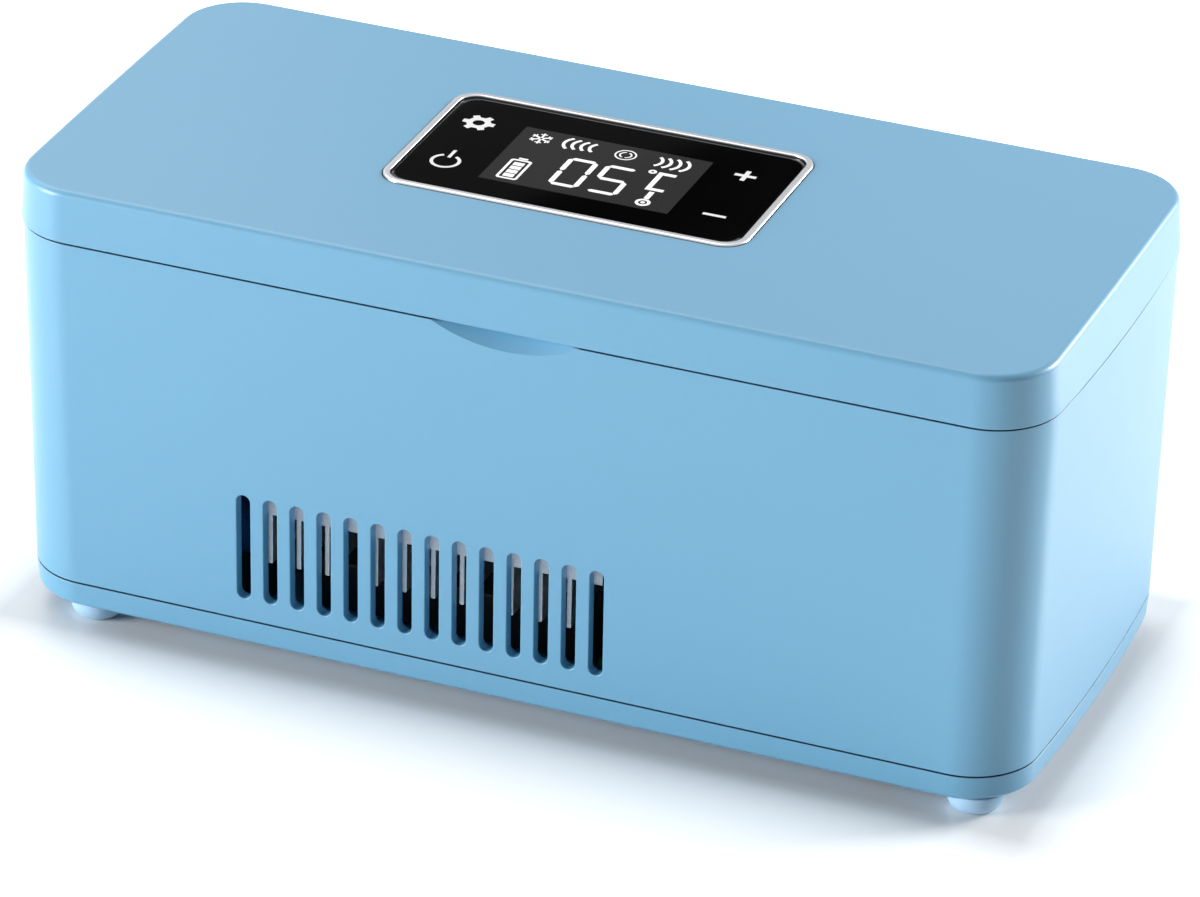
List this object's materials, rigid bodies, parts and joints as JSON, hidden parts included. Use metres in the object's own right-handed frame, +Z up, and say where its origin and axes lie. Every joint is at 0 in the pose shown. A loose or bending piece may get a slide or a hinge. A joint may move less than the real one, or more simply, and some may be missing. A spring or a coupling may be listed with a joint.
{
  "type": "insulin cooling case",
  "caption": "Box-shaped thermoelectric cooling case with a rear-hinged lid, a touch display panel in the lid, upright vent slots and an aluminium chamber for injection pens.",
  "frame": {"origin": "under the middle of the part, at the level of the feet's soles", "axes": "+Z up, front with the finger scoop and vent slots faces -Y, +X to the right seen from the front"},
  "size_m": [0.2038, 0.0946, 0.0916],
  "materials": {
    "blue_plastic": "satin",
    "white_plastic": "satin",
    "black_plastic": "matte",
    "black_glass": "polished",
    "lcd_grey": "satin",
    "bezel_silver": "satin",
    "aluminium": "satin",
    "steel": "satin",
    "foam": "matte",
    "seal_rubber": "matte",
    "pale_rubber": "satin",
    "board_green": "satin",
    "ceramic": "matte",
    "cell_wrap": "satin",
    "cable_grey": "matte"
  },
  "bodies": {
    "case": {"body_shell": "blue_plastic", "base_plate": "blue_plastic", "foot_front_left": "pale_rubber", "foot_rear_left": "pale_rubber", "foot_front_right": "pale_rubber", "foot_rear_right": "pale_rubber", "base_screw_left_front": "steel", "base_screw_left_rear": "steel", "base_screw_right_front": "steel", "base_screw_right_rear": "steel", "deck_frame": "white_plastic", "cold_chamber": "aluminium", "chamber_insulation": "foam", "cold_block": "aluminium", "peltier_module": "ceramic", "heat_sink": "aluminium", "clamp_screw_left_front": "steel", "clamp_screw_left_rear": "steel", "clamp_screw_right_front": "steel", "clamp_screw_right_rear": "steel", "fan_frame": "black_plastic", "fan_screw_left_front": "steel", "fan_screw_left_rear": "steel", "fan_screw_right_front": "steel", "fan_screw_right_rear": "steel", "battery_cell_left": "cell_wrap", "battery_cell_right": "cell_wrap", "battery_holder": "black_plastic", "main_board": "board_green", "dc_jack": "black_plastic", "temperature_sensor": "black_plastic", "hinge_pin_left": "steel", "hinge_pin_right": "steel", "body_magnet_left": "steel", "body_magnet_right": "steel", "display_cable_case": "cable_grey", "fan_lead": "cable_grey", "battery_lead": "cable_grey", "peltier_lead": "cable_grey"},
    "lid": {"lid_shell": "blue_plastic", "lid_inner_panel": "white_plastic", "lid_gasket": "seal_rubber", "lid_foam": "foam", "lid_magnet_left": "steel", "lid_magnet_right": "steel", "lid_screw_left_front": "steel", "lid_screw_left_rear": "steel", "lid_screw_right_front": "steel", "lid_screw_right_rear": "steel", "panel_bezel": "bezel_silver", "panel_glass": "black_glass", "lcd_module": "lcd_grey", "display_board": "board_green", "touch_spring_settings": "steel", "touch_spring_power": "steel", "touch_spring_plus": "steel", "touch_spring_minus": "steel", "display_cable_lid": "cable_grey"},
    "fan_rotor": {"fan_rotor": "black_plastic"}
  },
  "joints": [
    {"name": "lid_hinge", "type": "hinge", "parent": "case", "child": "lid", "pos_m": [0, 0.0447, 0.0804], "axis": [-1, 0, 0], "range_deg": [0, 100]},
    {"name": "fan_spin", "type": "hinge", "parent": "case", "child": "fan_rotor", "pos_m": [-0.0168, -0.0013, 0.012], "axis": [0, 0, 1], "continuous": true}
  ]
}
